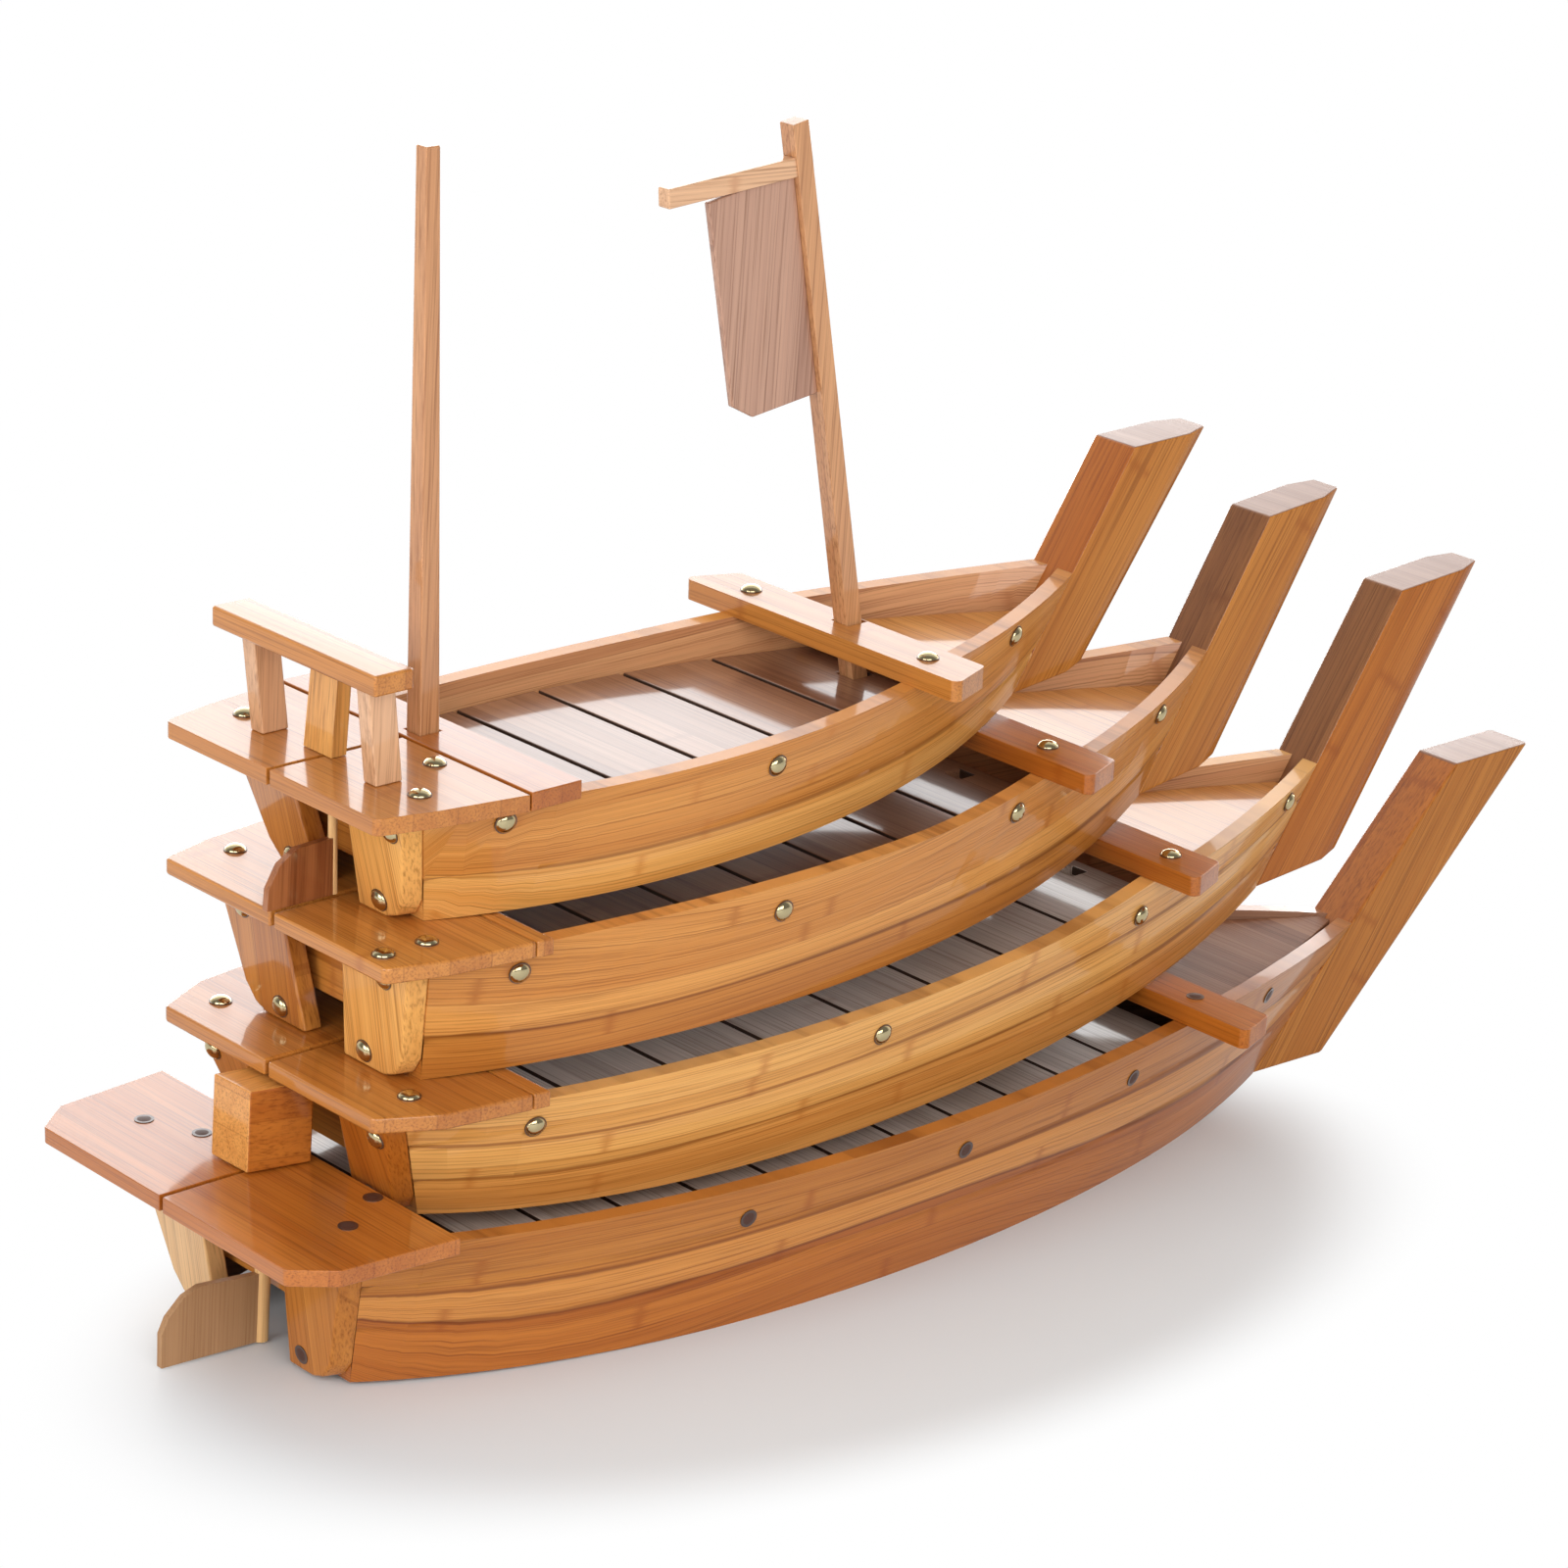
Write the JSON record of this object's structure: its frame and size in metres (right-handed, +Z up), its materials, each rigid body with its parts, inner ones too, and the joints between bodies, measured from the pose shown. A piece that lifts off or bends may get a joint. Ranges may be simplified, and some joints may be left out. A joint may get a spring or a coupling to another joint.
{
  "type": "nested boat-shaped serving trays",
  "caption": "Boat-shaped bamboo sushi trays with slatted floors, raked stem posts, a roof bench, masts and rudders, nested in a stack.",
  "frame": {"origin": "centre of the bounding box at the level of the surface that the base boat stands on", "axes": "+X towards the bows, along the length of the boats; +Y to port; +Z up"},
  "size_m": [0.9622, 0.2736, 0.5844],
  "materials": {
    "bamboo_plank": "glossy clear lacquer over honey bamboo strips",
    "bamboo_board": "glossy clear lacquer over amber bamboo",
    "bamboo_floor": "glossy clear lacquer over bamboo slats",
    "dark_bamboo": "glossy clear lacquer over russet bamboo",
    "light_ply": "satin bare plywood and dowel",
    "brass": "polished",
    "plug": "satin dark wood"
  },
  "bodies": {
    "base_boat": {"base_port_plank": "bamboo_plank", "base_starboard_plank": "bamboo_plank", "base_transom_boards": "bamboo_board", "base_cross_beam": "bamboo_board", "base_floor_slats": "bamboo_floor", "base_floor_rails": "bamboo_board", "base_bow_deck": "bamboo_floor", "base_stem_post": "bamboo_plank", "base_stern_deck": "bamboo_board", "base_thwart": "bamboo_board", "base_plugs": "plug"},
    "base_rudder": {"base_rudder_board": "light_ply", "base_rudder_stick": "light_ply", "base_rudder_block": "bamboo_plank"},
    "large_boat": {"large_port_plank": "bamboo_plank", "large_starboard_plank": "bamboo_plank", "large_transom_boards": "bamboo_board", "large_cross_beam": "bamboo_board", "large_floor_slats": "bamboo_floor", "large_floor_rails": "bamboo_board", "large_bow_deck": "bamboo_floor", "large_stem_post": "bamboo_plank", "large_stern_deck": "bamboo_board", "large_deck_batten": "dark_bamboo", "large_thwart": "bamboo_board", "large_nails": "brass"},
    "medium_boat": {"medium_port_plank": "bamboo_plank", "medium_starboard_plank": "bamboo_plank", "medium_transom_boards": "bamboo_board", "medium_cross_beam": "bamboo_board", "medium_floor_slats": "bamboo_floor", "medium_floor_rails": "bamboo_board", "medium_bow_deck": "bamboo_floor", "medium_stem_post": "bamboo_plank", "medium_stern_deck": "bamboo_board", "medium_deck_batten": "dark_bamboo", "medium_thwart": "bamboo_board", "medium_nails": "brass"},
    "small_boat": {"small_port_plank": "bamboo_plank", "small_starboard_plank": "bamboo_plank", "small_transom_boards": "bamboo_board", "small_cross_beam": "bamboo_board", "small_floor_slats": "bamboo_floor", "small_floor_rails": "bamboo_board", "small_bow_deck": "bamboo_floor", "small_stem_post": "bamboo_plank", "small_stern_deck": "bamboo_board", "small_deck_batten": "dark_bamboo", "small_thwart": "bamboo_board", "small_nails": "brass", "small_roof_plank": "dark_bamboo", "small_roof_legs": "bamboo_plank"},
    "small_rudder": {"small_rudder_board": "dark_bamboo", "small_rudder_stick": "light_ply", "small_rudder_block": "bamboo_plank"},
    "stern_mast": {"small_stern_mast": "bamboo_board"},
    "flag_mast": {"small_flag_mast": "bamboo_board", "small_yard": "bamboo_board", "small_sail": "dark_bamboo"}
  },
  "joints": [
    {"name": "base_rudder_turn", "type": "hinge", "parent": "base_boat", "child": "base_rudder", "pos_m": [-0.4197, 0, 0.03076], "axis": [0, 0, 1], "range_deg": [-30, 30]},
    {"name": "large_boat_lift", "type": "slide", "parent": "base_boat", "child": "large_boat", "axis": [0, 0, 1], "range_m": [0, 0.14]},
    {"name": "medium_boat_lift", "type": "slide", "parent": "large_boat", "child": "medium_boat", "axis": [0, 0, 1], "range_m": [0, 0.18]},
    {"name": "small_boat_lift", "type": "slide", "parent": "medium_boat", "child": "small_boat", "axis": [0, 0, 1], "range_m": [0, 0.16]},
    {"name": "small_rudder_turn", "type": "hinge", "parent": "small_boat", "child": "small_rudder", "pos_m": [-0.38901, 0, 0.25701], "axis": [-0.048, 0, 0.9988], "range_deg": [-30, 30]},
    {"name": "stern_mast_lift", "type": "slide", "parent": "small_boat", "child": "stern_mast", "axis": [-0.048, 0, 0.9988], "range_m": [0, 0.05]},
    {"name": "flag_mast_lift", "type": "slide", "parent": "small_boat", "child": "flag_mast", "axis": [-0.2275, 0, 0.9738], "range_m": [0, 0.05]}
  ]
}
